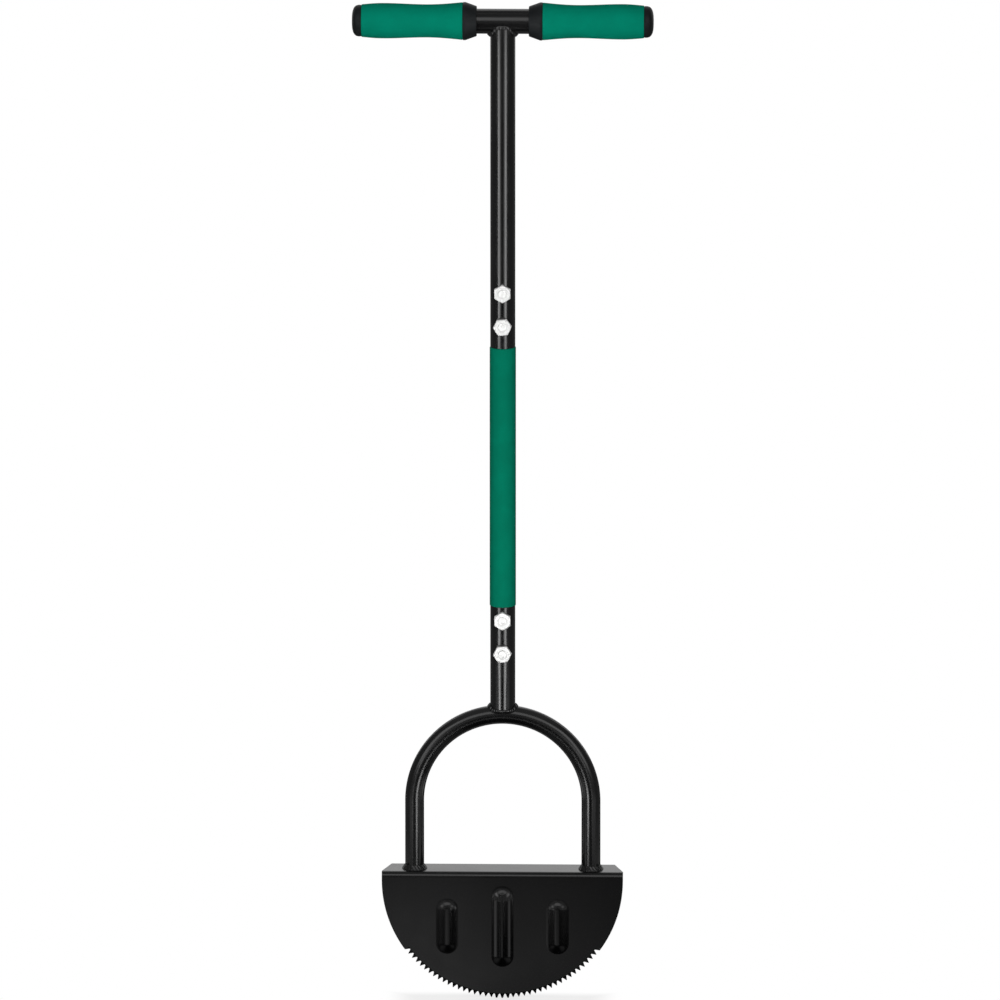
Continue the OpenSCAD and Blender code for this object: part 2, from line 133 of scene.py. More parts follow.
class EdgerSizes(bpy.types.PropertyGroup):
    """Sizes of the edger's pieces that the frame doesn't give."""

    tube_wall: a_length("Tube wall", "Wall of the shaft's and the crossbar's tube", 1.5 * MM)
    rim_round: a_length("Rim rounding", "Rounding of the tubes' cut ends", 0.45 * MM)
    weld_gap: a_length("Weld gap", "Gap between a coped tube and what it stands on", 0.08 * MM)
    sleeve_round: a_length("Sleeve rim", "Rounding of the middle sleeve's two rims", 0.9 * MM)
    grip_rim: a_length("Grip rim", "How far a grip's inner rim stands over the tube", 6.3 * MM)
    grip_waist: a_length("Grip waist", "Thickness of a grip at its waist", 3.95 * MM)
    grip_waist_at: a_length(
        "Waist place", "Distance of the waist from the grip's inner rim", 36 * MM)
    grip_swell: a_length("Grip swell", "Thickness of a grip where it fills the hand", 5.1 * MM)
    grip_swell_at: a_length(
        "Swell place", "Distance of the swell from the grip's inner rim", 79 * MM)
    grip_end: a_length("Grip end", "Thickness of a grip at its outer end", 3.7 * MM)
    collar_nose: a_length(
        "Collar nose", "How far a collar's narrow end stands over the tube", 2.5 * MM)
    collar_land: a_length(
        "Collar land", "Length of the straight band at a collar's wide end", 2.6 * MM)
    seam_round: a_length(
        "Seam rounding", "Rounding of the grips' ends and of the collars where they meet", 0.9 * MM)
    cap_groove: a_length(
        "Cap groove", "Depth of the groove between a grip and its end cap", 0.4 * MM)
    cap_roundness: bpy.props.FloatProperty(
        name="Cap roundness", description="2 gives an oval dome, more gives a flatter, fuller one",
        default=3.0, min=1.5, max=6.0)
    hex_across: a_length(
        "Across flats", "Width of the bolt heads and nuts across their flats", 16 * MM)
    bolt_diameter: a_length("Bolt diameter", "Outer diameter of the bolts' thread", 10 * MM)
    thread_pitch: a_length("Thread pitch", "Distance between two turns of the thread", 1.5 * MM)
    dish_diameter: a_length(
        "Dish diameter", "Diameter of the hollow pressed into a bolt head", 10 * MM)
    dish_depth: a_length("Dish depth", "Depth of the hollow pressed into a bolt head", 1.2 * MM)
    ripple_length: a_length("Weld ripple", "Distance between two ripples of a weld bead", 3.3 * MM)
    ripple_height: a_length(
        "Ripple height", "How far a ripple of a weld bead stands out", 0.32 * MM)
    bead_crest: a_length("Bead crest", "How far the saddle welds' middle stands out", 0.1 * MM)
    blade_radius: a_length("Blade radius", "Radius of the half moon", 121.0 * MM)
    teeth: bpy.props.IntProperty(
        name="Teeth", description="Number of teeth on the cutting edge", default=39, min=1)
    tooth_arc: an_angle("Tooth arc", "Angle of the cutting edge that carries teeth", 107.8)
    tip_width: a_length("Tip width", "Width of a tooth's blunt tip", 1.5 * MM)
    grind_width: a_length(
        "Grind width", "Width of the bevel that is ground along the teeth", 5.0 * MM)
    grind_depth: a_length("Grind depth", "Depth of that bevel at the teeth's tips", 1.5 * MM)
    rib_height: a_length(
        "Rib height", "How far the middle rib stands out of the blade's face", 4.2 * MM)
    rib_width: a_length("Rib width", "Width of the middle rib from foot to foot", 24.0 * MM)
    rib_run: a_length(
        "Rib run-out", "Length over which the middle rib sinks towards its upper end", 16.0 * MM)
    rib_fade: a_share(
        "Rib fade", "Share of its height that the middle rib loses at its upper end", 0.75)
    blade_edge: a_length(
        "Blade edge", "Rounding that the paint gives to the blade's edges", 0.18 * MM)


class EdgerFinishes(bpy.types.PropertyGroup):
    """Colours and gloss of the edger's finishes."""

    paint_color: a_color(
        "Black paint", "Colour of the powder coat on the steel", (0.0022, 0.0022, 0.0024))
    paint_roughness: a_share("Paint roughness", "Roughness of the powder coat", 0.19)
    zinc_color: a_color(
        "Zinc", "Colour of the bolts', washers' and nuts' plating", (0.95, 0.95, 0.94))
    zinc_roughness: a_share("Zinc roughness", "Roughness of the zinc plating", 0.46)
    grip_color: a_color("Grip green", "Colour of the two soft grips", (0.0006, 0.224, 0.142))
    sleeve_color: a_color("Sleeve green", "Colour of the middle sleeve", (0.0006, 0.146, 0.087))
    plastic_color: a_color(
        "Black plastic", "Colour of the collars and end caps", (0.0088, 0.0102, 0.0112))


class EdgerStage(bpy.types.PropertyGroup):
    """Camera and lamps."""

    distance: a_length("Distance", "Distance of the camera from the shaft", 20.0)
    elevation: an_angle("Elevation", "Height of the view over the horizon", 12.0)
    azimuth: an_angle("Azimuth", "Turn of the view round the shaft, to the right", 1.5)
    frame_height: a_length("Frame height", "Height that the picture takes in at the shaft", 1.0)
    aim_x: a_length(
        "Aim across", "Point that the camera looks at, along the crossbar", -2.8 * MM, low=-1.0)
    aim_z: a_length("Aim height", "Point that the camera looks at, over the floor", 507.5 * MM)
    strip_brightness: a_brightness(
        "Strip lamps", "Brightness of the upright strip lamps in front", 0.5)
    soft_brightness: a_brightness(
        "Soft lamp", "Brightness of the wide lamp in front and above", 0.85)
    key_brightness: a_brightness(
        "Key lamps", "Brightness of the broad lamps that leave no highlight", 2.3)
    rear_brightness: a_brightness("Rear lamps", "Brightness of the two soft lamps behind", 0.6)
    fill: a_brightness("Fill", "Even light from all round", 0.30)
    floor_glow: a_share(
        "Floor glow", "Share of the floor's white near the tool that shadow leaves alone", 0.72)


def sign_for(operation):
    """The two forms of an operator of wires: with the wire first, and with the wire second."""
    return (lambda wire, other: wire.finish.math(operation, wire, other),
            lambda wire, other: wire.finish.math(operation, other, wire))


class Wire:
    """A value inside a finish. Sums and products of wires add Math nodes."""

    __add__, __radd__ = sign_for("ADD")
    __sub__, __rsub__ = sign_for("SUBTRACT")
    __mul__, __rmul__ = sign_for("MULTIPLY")
    __truediv__, __rtruediv__ = sign_for("DIVIDE")

    def __init__(self, finish, socket):
        self.finish = finish
        self.socket = socket


class Finish:
    """A material's or the world's nodes, written as expressions."""

    def __init__(self, owner):
        self.owner = owner
        owner.use_nodes = True
        self.tree = owner.node_tree
        self.tree.nodes.clear()

    def add(self, kind, settings=None, sockets=None, out=0):
        """Adds a node of a type, with its settings first and then its sockets' values or links."""
        node = self.tree.nodes.new("ShaderNode" + kind)
        for key, value in (settings or {}).items():
            setattr(node, key, value)
        for key, value in (sockets or {}).items():
            if isinstance(value, Wire):
                self.tree.links.new(value.socket, node.inputs[key])
            else:
                node.inputs[key].default_value = value
        return Wire(self, node.outputs[out]) if node.outputs else None

    def math(self, operation, *values):
        """A Math node of one to three values."""
        return self.add("Math", {"operation": operation}, dict(enumerate(values)))

    def place(self):
        """Places on the piece, in metres."""
        return self.add("TexCoord", out=3)

    def parts(self, place):
        """The three numbers of a place."""
        x = self.add("SeparateXYZ", None, {0: place})
        y, z = (Wire(self, x.socket.node.outputs[i]) for i in (1, 2))
        return x, y, z

    def ease(self, value, low, high, start=0.0, stop=1.0):
        """Runs smoothly from start to stop while a value goes from low to high."""
        return self.add("MapRange", {"interpolation_type": "SMOOTHSTEP"},
                        {0: value, 1: low, 2: high, 3: start, 4: stop})

    def zone(self, *steps):
        """The product of several eased steps."""
        product = self.ease(*steps[0])
        for step in steps[1:]:
            product = product * self.ease(*step)
        return product

    def blend(self, share, first, second):
        """A colour between two colours."""
        return self.add("Mix", {"data_type": "RGBA"}, {0: share, 6: first, 7: second}, out=2)

    def grain(self, coords, scale, detail=2.0, roughness=0.5):
        """Even noise of a grain size given as grains in a metre."""
        return self.add("TexNoise", None, {
            "Vector": coords, "Scale": scale, "Detail": detail, "Roughness": roughness})

    def bump(self, height, strength, distance):
        """A normal that follows a height."""
        return self.add("Bump", None, {
            "Strength": strength, "Distance": distance, "Height": height})

    def glow(self, kind, strength=1.0, color=(1, 1, 1, 1)):
        """Light of a colour, white where none is given."""
        return self.add(kind, None, {"Color": color, "Strength": strength})

    def coat(self, color, roughness, normal, more):
        """Makes a coat of a colour, roughness and grain the material's surface."""
        return self.show(self.add("BsdfPrincipled", None, {
            "Base Color": color, "Roughness": roughness, "Normal": normal, **more}))

    def show(self, surface):
        """Makes a shader the material's or world's surface."""
        kind = "OutputWorld" if isinstance(self.owner, bpy.types.World) else "OutputMaterial"
        self.add(kind, None, {"Surface": surface})
        return self.owner


def new_finish(name):
    """An empty material to write nodes into."""
    return Finish(bpy.data.materials.new(name))


def shade(color, factor):
    """A colour made lighter or darker."""
    return tuple(min(1.0, c * factor) for c in color[:3]) + (1.0,)


def grey(level):
    """A grey from 0 for black to 1 for white."""
    return (level, level, level, 1)


def black_powder_coat(look):
    """Satin black powder coat: a fine orange peel, with slightly duller patches."""
    f = new_finish("satin_black_paint")
    place = f.place()
    peel = f.grain(place, 420.0, detail=1.0)
    fleck = f.grain(place, 2600.0, detail=1.0)
    dull = f.ease(f.grain(place, 24.0, detail=3.0), 0.35, 0.7)
    color = f.blend(dull, shade(look.paint_color, 0.85), shade(look.paint_color, 1.3))
    roughness = look.paint_roughness - 0.02 + dull * 0.05 + fleck * 0.03
    normal = f.bump(peel + fleck * 0.25, strength=0.012, distance=0.12 * MM)
    return f.coat(color, roughness, normal, {"IOR": 1.62})


def zinc_plate(look):
    """Bright zinc plating: pale metal with a faint crystal mottle."""
    f = new_finish("bright_zinc")
    place = f.place()
    crystals = f.add("TexVoronoi", {"feature": "F1"}, {"Vector": place, "Scale": 900.0}, out=1)
    tone = f.add("SeparateColor", None, {0: crystals})
    cloud = f.grain(place, 160.0, detail=3.0)
    mottle = cloud * 0.6 + tone * 0.3
    color = f.blend(mottle, shade(look.zinc_color, 0.93), look.zinc_color[:])
    roughness = look.zinc_roughness - 0.05 + cloud * 0.08 + tone * 0.03
    normal = f.bump(f.grain(place, 1800.0), strength=0.12, distance=0.03 * MM)
    return f.coat(color, roughness, normal, {"Metallic": 0.7})


def soft_green(name, color, pores, roughness):
    """Soft matt grip material with fine closed pores, whose pits carry painted shade."""
    f = new_finish(name)
    place = f.place()
    cells = f.add("TexVoronoi", {"feature": "SMOOTH_F1"}, {
        "Vector": place, "Scale": pores, "Smoothness": 0.5})
    skin = f.grain(place, pores * 2.2)
    cloud = f.grain(place, 55.0, detail=3.0)
    tone = f.ease(cloud, 0.3, 0.7)
    pore_shade = f.ease(cells, 0.18, 0.42, 1.0, 0.0)
    tinted = f.blend(tone, shade(color, 0.97), shade(color, 1.09))
    # painted shade: the pits of the pores darker, with a random darker grain
    tinted = f.blend(pore_shade * 0.5 + skin * 0.2, tinted, shade(color, 0.72))
    worn = roughness + tone * 0.06 - cells * 0.05
    normal = f.bump(cells * 0.7 + skin * 0.5, strength=0.4, distance=0.10 * MM)
    return f.coat(tinted, worn, normal, {"Specular IOR Level": 0.02})


def green_grip(look):
    """Soft green of the two hand grips."""
    return soft_green("soft_grip_green", look.grip_color, pores=1500.0, roughness=0.80)


def green_sleeve(look):
    """Soft green of the sleeve in the middle of the shaft."""
    return soft_green("soft_sleeve_green", look.sleeve_color, pores=1900.0, roughness=0.76)


def black_plastic(look):
    """Moulded black plastic with a fine spark grain."""
    base = look.plastic_color
    f = new_finish("moulded_black")
    place = f.place()
    spark = f.grain(place, 1700.0, detail=3.0, roughness=0.6)
    cloud = f.grain(place, 70.0)
    color = f.blend(f.ease(cloud, 0.35, 0.7), shade(base, 0.85), shade(base, 1.2))
    color = f.blend(f.ease(spark, 0.45, 0.75) * 0.5, color, shade(base, 1.9))
    roughness = 0.42 + spark * 0.10
    normal = f.bump(spark, strength=0.35, distance=0.08 * MM)
    return f.coat(color, roughness, normal, {"Specular IOR Level": 0.16})


FINISHES = {
    "black_powder_coat": black_powder_coat, "zinc_plate": zinc_plate, "green_grip": green_grip,
    "green_sleeve": green_sleeve, "black_plastic": black_plastic,
}
MADE = {}


def finish_for(slot):
    """The material of a slot, made the first time that it is asked for."""
    if slot not in MADE:
        MADE[slot] = FINISHES[slot](bpy.context.scene.edger_finishes)
    return MADE[slot]


def clear():
    """Leaves nothing selected."""
    if bpy.context.mode != "OBJECT":
        bpy.ops.object.mode_set(mode="OBJECT")
    bpy.ops.object.select_all(action="DESELECT")


def only(*pieces):
    """Makes these pieces the only selected ones, the first one active."""
    clear()
    for piece in pieces:
        piece.select_set(True)
    bpy.context.view_layer.objects.active = pieces[0]


def remove(piece):
    """Deletes a piece that was only a tool or a pattern."""
    only(piece)
    bpy.ops.object.delete()


def freeze():
    """Fixes the place, turn and size of what is selected in its mesh."""
    bpy.ops.object.transform_apply(location=True, rotation=True, scale=True)


def edit(piece):
    """Opens a piece in edit mode with all of it selected."""
    only(piece)
    bpy.ops.object.mode_set(mode="EDIT")
    bpy.ops.mesh.select_all(action="SELECT")


def close():
    """Back from edit mode."""
    bpy.ops.object.mode_set(mode="OBJECT")


def pick(piece, test):
    """Selects the vertices of the piece in edit mode whose place passes a test."""
    bpy.ops.mesh.select_mode(type="VERT")
    bpy.ops.mesh.select_all(action="DESELECT")
    mesh = bmesh.from_edit_mesh(piece.data)
    for vertex in mesh.verts:
        vertex.select = bool(test(vertex.co))
    mesh.select_flush(True)
    bmesh.update_edit_mesh(piece.data)


def slice_off(place, normal, **side):
    """Cuts the piece in edit mode at a plane, drops one side and closes the cut."""
    bpy.ops.mesh.select_all(action="SELECT")
    bpy.ops.mesh.bisect(plane_co=place, plane_no=normal, use_fill=True, **side)


def apply_modifier(piece, kind, **settings):
    """Adds a modifier with its settings and applies it."""
    only(piece)
    modifier = piece.modifiers.new(kind.title(), kind)
    for key, value in settings.items():
        setattr(modifier, key, value)
    bpy.ops.object.modifier_apply(modifier=modifier.name)


def soften(piece, width, angle):
    """Rounds the edges that are sharper than an angle."""
    apply_modifier(piece, "BEVEL", width=width, segments=2, limit_method="ANGLE",
                   angle_limit=math.radians(angle), use_clamp_overlap=True)


def cut(piece, tool, operation="DIFFERENCE"):
    """Cuts a piece with a tool body, or keeps what both share, and removes the tool."""
    apply_modifier(piece, "BOOLEAN", operation=operation, object=tool, solver="EXACT")
    remove(tool)
    only(piece)


def join(pieces):
    """Joins pieces into the first one."""
    only(*pieces)
    bpy.ops.object.join()
    return pieces[0]


def copy_of(piece):
    """A copy of a piece with its own mesh."""
    only(piece)
    bpy.ops.object.duplicate()
    return bpy.context.view_layer.objects.active


def copy_of_node(node):
    """A merged copy of a node of the frame, free of the frame."""
    copy = copy_of(frame["nodes"][node])
    bpy.ops.object.parent_clear(type="CLEAR_KEEP_TRANSFORM")
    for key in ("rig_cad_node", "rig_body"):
        if key in copy:
            del copy[key]
    edit(copy)
    bpy.ops.mesh.customdata_custom_splitnormals_clear()
    bpy.ops.mesh.remove_doubles(threshold=MERGE)
    close()
    return copy


def settle(piece, name, nodes, slot, angle=SMOOTH):
    """Names a finished piece, fixes its place in its mesh, gives it its finish and lets it ride."""
    only(piece)
    freeze()
    bpy.ops.object.shade_smooth_by_angle(angle=math.radians(angle))
    piece.name = name
    piece.data.name = name
    piece.data.materials.clear()
    piece.data.materials.append(finish_for(slot))
    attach(piece, BODY)
    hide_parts(*nodes)
    clear()


def rounded(corners, steps=5):
    """A line of (along, radius) points whose corners with a third number are rounded by it."""
    line = []
    for i, corner in enumerate(corners):
        here = Vector(corner[:2])
        if len(corner) < 3 or i in (0, len(corners) - 1):
            line.append(tuple(here))
            continue
        before = (Vector(corners[i - 1][:2]) - here).normalized()
        after = (Vector(corners[i + 1][:2]) - here).normalized()
        half = before.angle(after) / 2
        reach = corner[2] / math.tan(half)
        start, stop = here + before * reach, here + after * reach
        for k in range(steps + 1):
            t = k / steps
            line.append(tuple(start * (1 - t) ** 2 + here * 2 * t * (1 - t) + stop * t ** 2))
    return line


def traced(points):
    """A line of edges through points, left open in edit mode."""
    clear()
    bpy.ops.mesh.primitive_plane_add(size=MM)
    piece = bpy.context.object
    edit(piece)
    bpy.ops.mesh.merge(type="CENTER")
    bpy.ops.transform.translate(value=points[0])
    for before, after in zip(points, points[1:]):
        bpy.ops.mesh.extrude_region_move(TRANSFORM_OT_translate={"value": after - before})
    return piece


def turned(profile, axis, centre=(0, 0, 0), steps=96):
    """Traces a half section of (along, radius) points and spins it round an axis."""
    spot = {
        "X": lambda a, r: Vector((a, 0, centre[2] + r)),
        "Y": lambda a, r: Vector((centre[0], a, centre[2] + r)),
        "Z": lambda a, r: Vector((centre[0] + r, centre[1], a)),
    }[axis]
    turn_axis = {"X": (1, 0, 0), "Y": (0, 1, 0), "Z": (0, 0, 1)}[axis]
    piece = traced([spot(a, r) for a, r in profile])
    bpy.ops.mesh.select_all(action="SELECT")
    bpy.ops.mesh.spin(steps=steps, angle=2 * math.pi, center=centre, axis=turn_axis)
    bpy.ops.mesh.select_all(action="SELECT")
    bpy.ops.mesh.remove_doubles(threshold=MERGE)
    bpy.ops.mesh.normals_make_consistent(inside=False)
    close()
    return piece


def shaft_tube(low, high, axis="Z", centre=(0, 0, 0)):
    """A tube of the shaft's size with rounded cut ends."""
    sizes = bpy.context.scene.edger_sizes
    outer, inner, rim = TUBE_R, TUBE_R - sizes.tube_wall, sizes.rim_round
    middle = (low + high) / 2
    return turned(rounded([
        (middle, inner), (low, inner, rim / 2), (low, outer, rim),
        (high, outer, rim), (high, inner, rim / 2), (middle, inner)]), axis, centre, TUBE_STEPS)


def round_bar(radius, height, axis, steps):
    """A round bar across the shaft along X or Y, to cut with."""
    turn = {"X": (0, math.pi / 2, 0), "Y": (math.pi / 2, 0, 0)}[axis]
    clear()
    bpy.ops.mesh.primitive_cylinder_add(
        vertices=steps, radius=radius, depth=4 * TUBE_R, location=(0, 0, height), rotation=turn)
    return bpy.context.object


def bent_bar(radius, leg):
    """A round bar bent to the fork's half circle, with two legs of a length."""
    clear()
    bpy.ops.mesh.primitive_circle_add(vertices=64, radius=radius, location=(ARCH_R, 0, ARCH_Z))
    bar = bpy.context.object
    only(bar)
    freeze()
    edit(bar)
    bpy.ops.mesh.spin(steps=96, angle=math.pi, center=(0, 0, ARCH_Z), axis=(0, 1, 0))
    pick(bar, lambda co: abs(co.z - ARCH_Z) < TOUCH)
    if leg > 0:
        bpy.ops.mesh.extrude_region_move(TRANSFORM_OT_translate={"value": (0, 0, -leg)})
    bpy.ops.mesh.select_all(action="SELECT")
    bpy.ops.mesh.remove_doubles(threshold=MERGE)
    bpy.ops.mesh.fill_holes(sides=0)
    bpy.ops.mesh.select_all(action="SELECT")
    bpy.ops.mesh.normals_make_consistent(inside=False)
    close()
    if max(v.co.z for v in bar.data.vertices) < ARCH_Z + ARCH_R:
        raise RuntimeError("the fork's arch was spun downwards")
    return bar


def pair_heights(node):
    """Heights of the two bolts, washers or nuts of a joint, upper one first."""
    low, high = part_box(node)
    points = [v.co.z for v in frame["nodes"][node].data.vertices]
    middle = (low.z + high.z) / 2
    upper = [z for z in points if z > middle]
    lower = [z for z in points if z < middle]
    return (min(upper) + max(upper)) / 2, (min(lower) + max(lower)) / 2


def drill(tube, node):
    """Drills the holes for a joint's two bolts through a tube."""
    diameter = bpy.context.scene.edger_sizes.bolt_diameter + HOLE_PLAY
    for height in pair_heights(node):
        cut(tube, round_bar(diameter / 2, height, "Y", steps=48))


class EDGER_OT_blade(bpy.types.Operator):
    """Blunts and grinds the sheet's teeth, rounds its middle rib and softens its edges"""
    bl_idname = "edger.blade"
    bl_label = "Blade"

    def execute(self, context):
        sizes = context.scene.edger_sizes
        blade = copy_of_node("blade")
        edit(blade)
        bpy.ops.mesh.dissolve_limited(angle_limit=math.radians(0.05))
        close()
        self.widen_tips(blade, sizes)
        self.round_rib(blade, sizes)
        soften(blade, sizes.blade_edge, angle=40)
        self.grind(blade, sizes)
        settle(blade, "half_moon_blade", ["blade"], "black_powder_coat", angle=30.0)
        radius, inner = sizes.blade_radius, sizes.blade_radius - sizes.grind_width
        edit(blade)
        pick(blade, lambda co: abs(math.hypot(co.x, co.z - radius) - inner) < 0.1 * MM)
        bpy.ops.mesh.mark_sharp()
        close()
        apply_modifier(blade, "WEIGHTED_NORMAL", mode="FACE_AREA", weight=50, keep_sharp=True)
        return {"FINISHED"}

    @staticmethod
    def widen_tips(blade, sizes):
        """Blunts the teeth by widening their tips along the edge."""
        radius, pitch = sizes.blade_radius, sizes.tooth_arc / sizes.teeth
        half_tip = sizes.tip_width / 2 / radius
        edge = radius - 0.05 * MM
        for vertex in blade.data.vertices:
            co = vertex.co
            turn = math.atan2(co.x, radius - co.z)
            middle = round(turn / pitch) * pitch
            at_edge = math.hypot(co.x, co.z - radius) > edge
            if at_edge and abs(middle) < sizes.tooth_arc / 2 and abs(turn - middle) < half_tip:
                turn = middle + math.copysign(half_tip, turn - middle)
                co.x, co.z = radius * math.sin(turn), radius * (1 - math.cos(turn))

    @staticmethod
    def grind(blade, sizes):
        """Grinds a bevel along the toothed part of the edge."""
        radius, reach = sizes.blade_radius, sizes.tooth_arc / 2
        wide, deep = sizes.grind_width, sizes.grind_depth
        face = min(v.co.y for v in blade.data.vertices) + sizes.rib_height
        before, beyond = 0.3, 0.5
        inner = (face - before * deep, radius - (1 + before) * wide)
        outer = (face + (1 + beyond) * deep, radius + beyond * wide)
        ring = [inner, outer, (face - deep, outer[1]), (face - deep, inner[1]), inner]
        stone = turned(ring, "Y", (0, 0, radius), steps=360)
        for side in (-1, 1):
            edit(stone)
            away = Vector((side * math.cos(reach), 0, math.sin(reach)))
            slice_off((0, 0, radius), away, clear_outer=True)
            close()
        cut(blade, stone)

    @staticmethod
    def round_rib(blade, sizes):
        """Gives the middle rib one round back, which sinks towards its upper end."""
        height, half, run = sizes.rib_height, sizes.rib_width / 2, sizes.rib_run
        front = min(v.co.y for v in blade.data.vertices)
        face = front + height
        top = [v.co.copy() for v in blade.data.vertices if v.co.y < front + TOUCH]
        flat = max(co.x for co in top)
        low, high = min(co.z for co in top) + flat, max(co.z for co in top) - flat
        slack = 0.1 * MM

        def on_rib(co, depth):
            along = low - half - slack < co.z < high + half + slack
            return along and abs(co.x) < half + slack and co.y < depth + TOUCH

        across, upright = (1, 0, 0), (0, 0, 1)
        sinks = high + half - run
        cuts = [((flat * i / 4, 0, 0), across, front) for i in range(-3, 4)]
        levels = [high + (half - run) * share for share in (1.0, 0.67, 0.33)] + [low, high]
        cuts += [((0, 0, z), upright, face) for z in levels]
        for place, normal, depth in cuts:
            edit(blade)
            pick(blade, lambda co: on_rib(co, depth))
            bpy.ops.mesh.bisect(plane_co=place, plane_no=normal)
            close()
        # the back is a round crown out to the knee, and a hollow from there to the foot
        knee = 0.6 * half
        ridge, turn, step = math.radians(6), math.radians(20), math.radians(0.02)
        while knee * math.tan((turn + ridge) / 2) + (half - knee) * math.tan(turn / 2) < height:
            turn += step
        crown = knee / (math.sin(turn) - math.sin(ridge))
        hollow = (half - knee) / math.sin(turn)
        raised = face - 0.001 * MM
        for vertex in blade.data.vertices:
            co = vertex.co
            if on_rib(co, face) and co.y < raised:
                away = min(half, math.hypot(co.x, co.z - min(high, max(low, co.z))))
                if away < knee:
                    slope = math.asin(math.sin(ridge) + away / crown)
                    rise = height - crown * (math.cos(ridge) - math.cos(slope))
                else:
                    rise = hollow - math.sqrt(hollow * hollow - (half - away) ** 2)
                share = min(1.0, max(0.0, (co.z - sinks) / run))
                co.y = face - rise * (1.0 - sizes.rib_fade * share)


def fine_copy(node, angle, levels):
    """A copy of a weld bead's solid, turned to quads and divided finely."""
    bead = copy_of_node(node)
    edit(bead)
    limit = math.radians(angle)
    bpy.ops.mesh.tris_convert_to_quads(face_threshold=limit, shape_threshold=limit)
    close()
    apply_modifier(bead, "SUBSURF", levels=levels, render_levels=levels)
    return bead


def wave(turns):
    """Ripple that climbs slowly and drops fast, from 0 to 1, once for each whole turn."""
    share, lag = turns - math.floor(turns), 1.7
    return math.sin(math.pi * share ** lag)


def ripple(piece, clear_of, turns_at, crest=0.0):
    """Lifts a bead's face in ripples, and its middle to a crest, away from the tubes it joins."""
    height = bpy.context.scene.edger_sizes.ripple_height
    mean, reach = 0.45, 0.9 * MM
    normals = [v.normal.copy() for v in piece.data.vertices]
    for vertex, normal in zip(piece.data.vertices, normals):
        free = min(1.0, max(0.0, clear_of(vertex.co)) / reach)
        lift = wave(turns_at(vertex.co)) - mean
        vertex.co += normal * (height * lift + crest) * free


def ripples_round(radius, length, stretch=1.0):
    """Whole number of ripples in a bead round a tube."""
    bead = 2 * MM
    return round(2 * math.pi * (radius + bead) * stretch / length)


class EDGER_OT_leg_welds(bpy.types.Operator):
    """Models the rippled weld rings at the feet of the fork"""
    bl_idname = "edger.leg_welds"
    bl_label = "Leg Welds"

    def execute(self, context):
        length = context.scene.edger_sizes.ripple_length
        count = ripples_round(FORK_R, length)
        for side, sign in (("left", -1), ("right", 1)):
            node = side + "_leg_weld"
            ring = fine_copy(node, angle=60, levels=1)
            foot_x, slant, offset = sign * ARCH_R, 0.5, 0.3 * sign

            def free(co):
                return min(math.hypot(co.x - foot_x, co.y) - FORK_R, co.z - FOOT_Z)

            def turns(co):
                lean = (co.z - FOOT_Z) / length * slant
                return math.atan2(co.y, co.x - foot_x) / (2 * math.pi) * count + lean + offset

            ripple(ring, free, turns)
            settle(ring, side + "_leg_weld_bead", [node], "black_powder_coat", angle=75.0)
        return {"FINISHED"}


class EDGER_OT_saddle_welds(bpy.types.Operator):
    """Models the rippled beads at the crossbar and at the top of the fork"""
    bl_idname = "edger.saddle_welds"
    bl_label = "Saddle Welds"

    def execute(self, context):
        sizes = context.scene.edger_sizes
        length, slant = sizes.ripple_length, 0.45
        count = ripples_round(TUBE_R, length, stretch=1.15)

        def from_bar(co):
            return math.hypot(co.y, co.z - BAR_Z) - TUBE_R

        def from_fork(co):
            spoke = math.hypot(co.x, co.z - ARCH_Z) - ARCH_R
            return math.hypot(spoke, co.y) - FORK_R

        def turns(co):
            lean = (math.hypot(co.x, co.y) - TUBE_R) / length * slant
            return math.atan2(co.y, co.x) / (2 * math.pi) * count + lean

        for node, carrier in (("tee_weld", from_bar), ("neck_weld", from_fork)):
            bead = fine_copy(node, angle=80, levels=2)

            def free(co):
                return min(math.hypot(co.x, co.y) - TUBE_R, carrier(co))

            ripple(bead, free, turns, sizes.bead_crest)
            settle(bead, node + "_bead", [node], "black_powder_coat", angle=80.0)
        return {"FINISHED"}


class EDGER_OT_fork(bpy.types.Operator):
    """Bends the fork's tube to a half circle with two legs"""
    bl_idname = "edger.fork"
    bl_label = "Fork"

    def execute(self, context):
        fork = bent_bar(FORK_R, ARCH_Z - FOOT_Z)
        settle(fork, "bent_fork", ["fork"], "black_powder_coat")
        return {"FINISHED"}


class EDGER_OT_lower_tube(bpy.types.Operator):
    """Turns the lower tube, copes it onto the fork and drills it"""
    bl_idname = "edger.lower_tube"
    bl_label = "Lower Tube"

    def execute(self, context):
        tube = shaft_tube(LOWER_LOW.z, LOWER_HIGH.z)
        cut(tube, bent_bar(FORK_R + context.scene.edger_sizes.weld_gap, 0))
        drill(tube, "lower_joint_bolts")
        settle(tube, "lower_shaft_tube", ["lower_tube"], "black_powder_coat")
        return {"FINISHED"}


class EDGER_OT_upper_shaft(bpy.types.Operator):
    """Turns the upper shaft, copes it under the crossbar and drills it"""
    bl_idname = "edger.upper_shaft"
    bl_label = "Upper Shaft"

    def execute(self, context):
        tube = shaft_tube(UPPER_LOW.z, UPPER_HIGH.z)
        gap = context.scene.edger_sizes.weld_gap
        cut(tube, round_bar(TUBE_R + gap, BAR_Z, "X", TUBE_STEPS))
        drill(tube, "upper_joint_bolts")
        settle(tube, "upper_shaft_tube", ["upper_shaft"], "black_powder_coat")
        return {"FINISHED"}


class EDGER_OT_crossbar(bpy.types.Operator):
    """Turns the tube of the T handle"""
    bl_idname = "edger.crossbar"
    bl_label = "Crossbar"

    def execute(self, context):
        bar = shaft_tube(BAR_LOW.x, BAR_HIGH.x, "X", (0, 0, BAR_Z))
        settle(bar, "handle_crossbar", ["crossbar"], "black_powder_coat")
        return {"FINISHED"}


